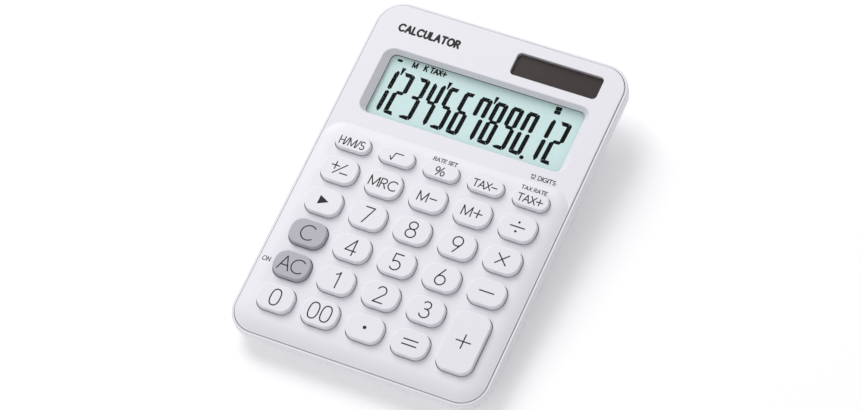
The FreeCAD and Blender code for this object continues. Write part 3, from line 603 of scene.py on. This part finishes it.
def metal(name, light, dark, roughness, scratch):
    """Plated metal with fine marks; a low scratch draws them out along y."""
    finish = Finish(name, Metallic=1.0)
    stretch = finish.node("Mapping", None, {"Vector": finish.place(), "Scale": (1.0, scratch, 1.0)})
    marks = finish.node("TexNoise", None, {"Vector": stretch, "Scale": MARK_SCALE, "Detail": 3.0})
    tarnish = finish.noise(0.003, 3.0)
    finish.set("Base Color", finish.blend(tarnish, dark, light))
    finish.vary("Roughness", marks, roughness, 0.1)
    finish.relief((marks, 0.000004))
    return finish.material


def screw_steel():
    return metal("screw_steel", (0.62, 0.6, 0.58, 1), (0.48, 0.46, 0.45, 1),
                 roughness=0.35, scratch=1.0)


def cell_steel():
    return metal("cell_steel", (0.75, 0.74, 0.72, 1), (0.66, 0.65, 0.64, 1),
                 roughness=0.25, scratch=0.1)


def spring_metal():
    return metal("spring_metal", (0.72, 0.66, 0.5, 1), (0.6, 0.54, 0.4, 1),
                 roughness=0.3, scratch=0.1)


def key_ink():
    """Dark pad-printed ink, slightly uneven in cover."""
    finish = Finish("key_ink", Specular_IOR_Level=0.2)
    cover = finish.noise(0.0004, 3.0)
    finish.set("Base Color", finish.blend(cover, (0.006, 0.006, 0.009, 1),
                                          (0.014, 0.014, 0.018, 1)))
    finish.set("Roughness", finish.span(cover, 0.35, 0.55))
    finish.relief((cover, INK_RELIEF))
    return finish.material


def case_ink():
    """Grey pad-printed ink of the small words on the case."""
    finish = Finish("case_ink")
    cover = finish.noise(0.0003, 3.0)
    finish.set("Base Color", finish.blend(cover, (0.035, 0.035, 0.045, 1), (0.06, 0.06, 0.07, 1)))
    finish.set("Roughness", finish.span(cover, 0.4, 0.6))
    finish.relief((cover, INK_RELIEF))
    return finish.material


def lit_segment():
    """Dark liquid-crystal segment with a faint blue-green cast."""
    finish = Finish("lit_segment", Specular_IOR_Level=0.0)
    cover = finish.noise(0.0005, 2.0)
    finish.set("Base Color", finish.blend(cover, (0.001, 0.0013, 0.0015, 1),
                                          (0.002, 0.0025, 0.003, 1)))
    finish.set("Roughness", finish.span(cover, 0.4, 0.5))
    finish.relief((cover, 0.000001))
    return finish.material


SLOT_FINISHES = {
    "case_plastic": case_plastic,
    "white_key_plastic": white_key_plastic,
    "grey_key_plastic": grey_key_plastic,
    "clear_window": clear_window,
    "display_film": display_film,
    "display_glass": display_glass,
    "gasket_foam": gasket_foam,
    "ribbon_film": ribbon_film,
    "solar_window": solar_window_finish,
    "solar_glass": solar_glass,
    "lead_sleeve": lead_sleeve,
    "board_laminate": board_laminate,
    "black_epoxy": black_epoxy,
    "mat_rubber": mat_rubber,
    "carbon_rubber": carbon_rubber,
    "screw_steel": screw_steel,
    "foot_rubber": foot_rubber,
    "cell_steel": cell_steel,
    "spring_metal": spring_metal,
}


def finish_nodes():
    """Gives every node the finish of its material slot; returns the finishes by slot."""
    made = {slot: recipe() for slot, recipe in SLOT_FINISHES.items()}
    for part in frame["record"]["subparts"]:
        mesh = frame["nodes"][part["node"]].data
        mesh.materials.clear()
        mesh.materials.append(made[part["material_slot"]])
    return made


# ================================================================ key legends
DIGIT_HEIGHT = 6.6
DIGIT_GAP = 0.19               # between the two noughts, as a share of their height
DIGIT_PEN = 0.5
WORD_PEN = 0.46
SMALL_PEN = 0.42
SIGN_ARM = 2.85
TIMES_ARM = 2.1
EQUALS_RISE = 1.05
PILL_LENGTH = 10.0             # keys shorter than this are the low ones
PILL_SIGN_DROP = 0.25          # signs of the low keys sit this far below the middle


def word(text, height, stretch=1.0, gap=0.2):
    """A line of text, placed when the middle of its key is given."""
    def strokes(x, y):
        return write(text, height, (x, y), stretch, gap)
    return strokes


def digits(text):
    return word(text, DIGIT_HEIGHT, 1.0, DIGIT_GAP)


def lines(*pairs):
    """Straight strokes given from the middle of the key."""
    def strokes(x, y):
        return [[(x + px, y + py) for px, py in pair] for pair in pairs]
    return strokes


def percent_strokes(x, y):
    return [[(x - 1.3, y - 2.0), (x + 0.95, y + 1.65)],
            loop(oval(x - 1.2, y + 0.55, 0.72, 0.9)),
            loop(oval(x + 1.1, y - 0.95, 0.72, 0.9))]


LEGENDS = {
    "key_time": (word("H/M/S", 3.25, 0.92, 0.11), SMALL_PEN),
    "key_square_root": (lines([(-2.4, -0.35), (-1.5, -1.75)], [(-1.5, -1.75), (-0.65, 1.4)],
                              [(-0.65, 1.4), (2.45, 1.4)]), SMALL_PEN),
    "key_percent": (percent_strokes, SMALL_PEN),
    "key_tax_minus": (word("TAX-", 3.0, 1.0, 0.1), SMALL_PEN),
    "key_tax_plus": (word("TAX+", 3.0, 1.0, 0.1), SMALL_PEN),
    "key_sign": (lines([(-3.5, 1.15), (-0.4, 1.15)], [(-1.95, 2.7), (-1.95, -0.4)],
                       [(2.4, 2.5), (-1.95, -2.2)], [(0.75, -1.5), (3.8, -1.5)]), WORD_PEN),
    "key_memory_recall": (word("MRC", 3.9, 1.0, 0.2), WORD_PEN),
    "key_memory_minus": (word("M-", 3.9, 1.0, 0.26), WORD_PEN),
    "key_memory_plus": (word("M+", 3.9, 1.0, 0.24), WORD_PEN),
    "key_divide": (lines([(-SIGN_ARM, 0), (SIGN_ARM, 0)]), DIGIT_PEN),
    "key_times": (lines([(-TIMES_ARM, -TIMES_ARM), (TIMES_ARM, TIMES_ARM)],
                        [(-TIMES_ARM, TIMES_ARM), (TIMES_ARM, -TIMES_ARM)]), DIGIT_PEN),
    "key_minus": (lines([(-SIGN_ARM, 0), (SIGN_ARM, 0)]), DIGIT_PEN),
    "key_plus": (lines([(-SIGN_ARM, 0), (SIGN_ARM, 0)],
                       [(0, -SIGN_ARM), (0, SIGN_ARM)]), DIGIT_PEN),
    "key_equals": (lines([(-SIGN_ARM, EQUALS_RISE), (SIGN_ARM, EQUALS_RISE)],
                         [(-SIGN_ARM, -EQUALS_RISE), (SIGN_ARM, -EQUALS_RISE)]), DIGIT_PEN),
    "key_clear": (word("C", 6.1), WORD_PEN),
    "key_all_clear": (word("AC", 5.7, 1.0, 0.09), WORD_PEN),
    "key_0": (digits("0"), DIGIT_PEN),
    "key_00": (digits("00"), DIGIT_PEN),
}
LEGENDS.update({"key_" + d: (digits(d), DIGIT_PEN) for d in "123456789"})

DOTS = {"key_point": [(0, 0, 0.72)],
        "key_divide": [(0, 1.95, 0.48), (0, -1.95, 0.48)]}
BACKSPACE_ARROW = [(-1.95, 1.9), (-1.95, -1.9), (2.1, 0)]


def key_legend(node, ink):
    """The printed sign of one key, on the key's own body."""
    low, high = face_box(node)
    x, y = (low.x + high.x) / 2, (low.y + high.y) / 2
    if high.y - low.y < PILL_LENGTH:
        y -= PILL_SIGN_DROP
    top = Surface(node).height
    solid = Solid()

    def stamp(outline, z):
        solid.plate(outline, z - INK_ROOT, z + INK_THICKNESS)

    if node in LEGENDS:
        strokes, pen = LEGENDS[node]
        draw(solid, strokes(x, y), pen, top)
    for dx, dy, radius in DOTS.get(node, []):
        stamp(dot(x + dx, y + dy, radius), top(x + dx, y + dy))
    if node == "key_backspace":
        stamp([(x + px, y + py) for px, py in BACKSPACE_ARROW], top(x, y))
    piece("legend_" + node[len("key_"):], solid.verts, solid.faces, ink, node)


def key_nodes():
    """Nodes that ride on bodies of their own: the keys."""
    return [name for name in frame["nodes"] if name in frame["bodies"]]


# ================================================================ words on the case
CASE_PEN = 0.33
NAME_PEN = 0.86
SMALL_WORDS = (                # piece, text, height, middle, stretch, gap
    ("print_rate_set", "RATE SET", 1.65, (-0.5, 15.3), 1.0, 0.16),
    ("print_tax_rate", "TAX RATE", 1.65, (36.0, 15.3), 1.0, 0.16),
    ("print_on", "ON", 1.75, (-47.95, -44.45), 1.0, 0.25),
    ("print_digits", "12 DIGITS", 1.7, (37.1, 20.9), 1.05, 0.22),
)
NAME_WORD = ("print_name", "CALCULATOR", 2.9, (-29.3, 64.0), 0.86, 0.28)


def case_words(small_ink, name_ink):
    surface = Surface("upper_case").height
    printed = [(place, CASE_PEN, small_ink) for place in SMALL_WORDS]
    printed.append((NAME_WORD, NAME_PEN, name_ink))
    for (name, text, height, centre, stretch, gap), pen, ink in printed:
        solid = Solid()
        strokes = write(text, height, centre, stretch, gap)
        strokes = [s if s[0] == "loop" else finely(s) for s in strokes]
        draw(solid, strokes, pen, surface)
        piece(name, solid.verts, solid.faces, ink, "case")


# ================================================================ display image
CELL_PITCH = 6.56
FIRST_CELL = -36.3             # right-hand bar of the first cell, at the middle height
CELL_WIDTH = 3.35              # between the middles of the two bars
CELL_BOTTOM = 29.95
CELL_MIDDLE = 39.1
CELL_TOP = 47.25
SLANT = 0.044
BAR = 0.88                     # half a bar's width
SHELF = 0.84                   # half a level bar's height
SEGMENT_LIFT = 0.012
SEGMENT_THICKNESS = 0.02


def segment_outlines():
    """Upright outlines of the seven segments.

    They start from where the middles of the left bars and of the bottom bar meet.
    """
    w = CELL_WIDTH
    mid = CELL_MIDDLE - CELL_BOTTOM
    top = CELL_TOP - CELL_BOTTOM
    return {
        "a": [(-0.5, top + SHELF), (0.6, top - SHELF), (w - 0.8, top - SHELF),
              (w - 0.38, top + SHELF)],
        "b": [(w - BAR, mid + 0.8), (w, mid + 0.22), (w + BAR, mid + 0.8), (w + BAR, top - 0.1),
              (w + 0.4, top + 0.5), (w - 0.15, top + 0.66), (w - BAR, top - 0.7)],
        "c": [(w - BAR, mid - 0.8), (w, mid - 0.22), (w + BAR, mid - 0.8), (w + BAR, 0.65),
              (w + 0.3, -0.5), (w - 0.1, -0.6), (w - BAR, 0.8)],
        "d": [(-BAR, 0.15), (-0.25, -0.6), (w - 0.2, -SHELF), (w - 0.85, SHELF), (BAR, SHELF)],
        "e": [(-BAR, mid - 0.8), (0, mid - 0.22), (BAR, mid - 0.8), (BAR, 0.85), (-BAR, 0.33)],
        "f": [(-BAR, mid + 0.8), (0, mid + 0.22), (BAR, mid + 0.8), (BAR, top - 0.85),
              (-0.28, top + 0.4), (-BAR, top - 0.45)],
        "g": [(0.05, mid), (0.55, mid + 0.72), (w - 0.55, mid + 0.72), (w - 0.05, mid),
              (w - 0.55, mid - 0.72), (0.55, mid - 0.72)],
    }


DIGIT_SEGMENTS = {"0": "abcdef", "1": "bc", "2": "abdeg", "3": "abcdg", "4": "bcfg",
                  "5": "acdfg", "6": "acdefg", "7": "abcf", "8": "abcdefg", "9": "abcdfg"}
SHOWN_NUMBER = "123456789012"
COMMAS_AFTER = (0, 3, 6)
POINT_AFTER = 9
COMMA_OUTLINE = [(1.4, 49.8), (2.95, 49.8), (2.2, 46.6), (1.65, 46.5)]
POINT_PLACE = (1.31, 28.9, 0.85)    # distance past the bar, height up the face, radius


def display_digits(finish):
    """The number that the display shows, as thin dark segments on the polariser."""
    level = face_box("front_polariser")[1].z + SEGMENT_LIFT
    solid = Solid()

    def add(outline):
        solid.plate(outline, level, level + SEGMENT_THICKNESS)

    outlines = segment_outlines()
    for cell, digit in enumerate(SHOWN_NUMBER):
        right = FIRST_CELL + cell * CELL_PITCH
        for segment in DIGIT_SEGMENTS[digit]:
            points = [(x, y + CELL_BOTTOM) for x, y in outlines[segment]]
            add([(right - CELL_WIDTH + x + SLANT * (y - CELL_MIDDLE), y) for x, y in points])
        if cell in COMMAS_AFTER:
            add([(right + x, y) for x, y in COMMA_OUTLINE])
        if cell == POINT_AFTER:
            x, y, radius = POINT_PLACE
            add(dot(right + x, y, radius))
    piece("display_digits", solid.verts, solid.faces, finish, "case")


INDICATOR_HEIGHT = 2.2
INDICATOR_Y = 52.3
INDICATOR_PEN = 0.56
MARK_PEN = 0.76
MINUS_PEN = 1.05
MINUS_ENDS = (-37.75, -36.55)
SIGN_GAP = 0.1
INDICATORS = (                 # text, x, stretch
    ("M", -30.7, 0.85),
    ("K", -26.1, 0.85),
    ("TAX+", -20.9, 0.9),
)
MEMO_BOXES = (51.1, 52.75)     # middles of the two small boxes of the last sign
MEMO_BOX_HEIGHT = 0.8
MEMO_LEFT = 28.5
MEMO_RIGHT = 30.25


def display_indicators(finish):
    """Small signs along the top of the display."""
    level = face_box("front_polariser")[1].z + SEGMENT_LIFT + INK_ROOT
    solid = Solid()
    strokes = []
    for text, x, stretch in INDICATORS:
        strokes += write(text, INDICATOR_HEIGHT, (x, INDICATOR_Y), stretch, SIGN_GAP)
    draw(solid, strokes, INDICATOR_PEN, lambda x, y: level)
    draw(solid, [[(x, INDICATOR_Y) for x in MINUS_ENDS]], MINUS_PEN, lambda x, y: level)
    marks = []
    for middle in MEMO_BOXES:
        low, high = middle - MEMO_BOX_HEIGHT / 2, middle + MEMO_BOX_HEIGHT / 2
        marks += [[(side, low), (side, high)] for side in (MEMO_LEFT, MEMO_RIGHT)]
        marks += [[(MEMO_LEFT, end), (MEMO_RIGHT, end)] for end in (low, high)]
    draw(solid, marks, MARK_PEN, lambda x, y: level)
    piece("display_indicators", solid.verts, solid.faces, finish, "case")


# ================================================================ clear plates
LENS_CLEARANCE = 0.12          # under each clear plate
LENS_EDGE = 0.15
DISPLAY_LENS_RADIUS = 1.0
SOLAR_LENS_RADIUS = 1.7


def clear_plate(name, node, radius, finish):
    """Thin clear plate with softened edges that stands for a node, clear of what is under it."""
    low, high = face_box(node)
    rings = []
    for inset, z in ((LENS_EDGE, low.z + LENS_CLEARANCE), (0, low.z + LENS_CLEARANCE + LENS_EDGE),
                     (0, high.z - LENS_EDGE), (LENS_EDGE, high.z)):
        outline = rounded_outline(low.x + inset, high.x - inset, low.y + inset, high.y - inset,
                                  radius - inset)
        rings.append([(x, y, z) for x, y in outline])
    solid = Solid()
    solid.rows(rings, False)
    plate = piece(name, solid.verts, solid.faces, finish, "case")
    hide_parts(node)


# ================================================================ studio
FLOOR_SIZE = 6.0
FLOOR_GLOW = 0.14              # so that shadows on it stay faint
WORLD_COLOUR = (0.98, 0.985, 1.0, 1)
WORLD_STRENGTH = 0.48
SOFT_LIGHTS = (                # name, place, size, power
    ("key_light", (-0.97, 1.0, 1.3), 1.3, 24.5),
    ("fill_light", (-0.2, -1.7, 1.2), 1.4, 7.0),
)


def floor():
    """Plain pale floor with a barely seen paper tooth."""
    finish = Finish("floor_paper")
    tooth = finish.noise(0.002, 3.0)
    finish.set("Base Color", finish.blend(tooth, (0.93, 0.93, 0.935, 1), (0.95, 0.95, 0.955, 1)))
    finish.set("Roughness", finish.span(tooth, 0.8, 0.95))
    finish.set("Emission Color", (1.0, 1.0, 1.0, 1))
    finish.set("Emission Strength", FLOOR_GLOW)
    half = FLOOR_SIZE / 2
    mesh = bpy.data.meshes.new("floor")
    mesh.from_pydata([(-half, -half, 0), (half, -half, 0), (half, half, 0), (-half, half, 0)], [],
                     [(0, 1, 2, 3)])
    mesh.materials.append(finish.material)
    obj = bpy.data.objects.new("floor", mesh)
    bpy.context.scene.collection.objects.link(obj)


def soft_light(name, place, size, power):
    """Square soft box aimed at the middle of the calculator."""
    light = bpy.data.lights.new(name, "AREA")
    light.size = size
    light.energy = power
    obj = bpy.data.objects.new(name, light)
    obj.location = place
    obj.rotation_euler = (-Vector(place)).to_track_quat("-Z", "Y").to_euler()
    bpy.context.scene.collection.objects.link(obj)


def studio():
    world = bpy.data.worlds.new("studio")
    world.use_nodes = True
    background = world.node_tree.nodes["Background"]
    background.inputs["Color"].default_value = WORLD_COLOUR
    background.inputs["Strength"].default_value = WORLD_STRENGTH
    bpy.context.scene.world = world
    for light in SOFT_LIGHTS:
        soft_light(*light)
    bpy.context.scene.view_settings.view_transform = "Standard"


CAMERA_PLACE = Vector((0.411565, -0.586667, 1.084427))
CAMERA_AIM = Vector((-0.004937, 0.005155, 0.0))
CAMERA_ROLL = -12.322          # degrees about the line of sight
CAMERA_LENS = 144.154
SENSOR_WIDTH = 36.0
CLIP_START = 0.01


def camera():
    data = bpy.data.cameras.new("camera")
    data.lens = CAMERA_LENS
    data.sensor_width = SENSOR_WIDTH
    data.clip_start = CLIP_START
    obj = bpy.data.objects.new("camera", data)
    aim = (CAMERA_AIM - CAMERA_PLACE).to_track_quat("-Z", "Y").to_matrix().to_4x4()
    roll = Matrix.Rotation(math.radians(CAMERA_ROLL), 4, "Z")
    obj.matrix_world = Matrix.Translation(CAMERA_PLACE) @ aim @ roll
    bpy.context.scene.collection.objects.link(obj)
    bpy.context.scene.camera = obj


# ================================================================ assembly
def build():
    camera()
    floor()
    studio()
    finishes = finish_nodes()
    ink = key_ink()
    for node in key_nodes():
        key_legend(node, ink)
    case_words(case_ink(), ink)
    segments = lit_segment()
    display_digits(segments)
    display_indicators(segments)
    clear_plate("display_lens", "display_window", DISPLAY_LENS_RADIUS,
                finishes["clear_window"])
    clear_plate("solar_lens", "solar_window", SOLAR_LENS_RADIUS,
                finishes["solar_window"])


build()
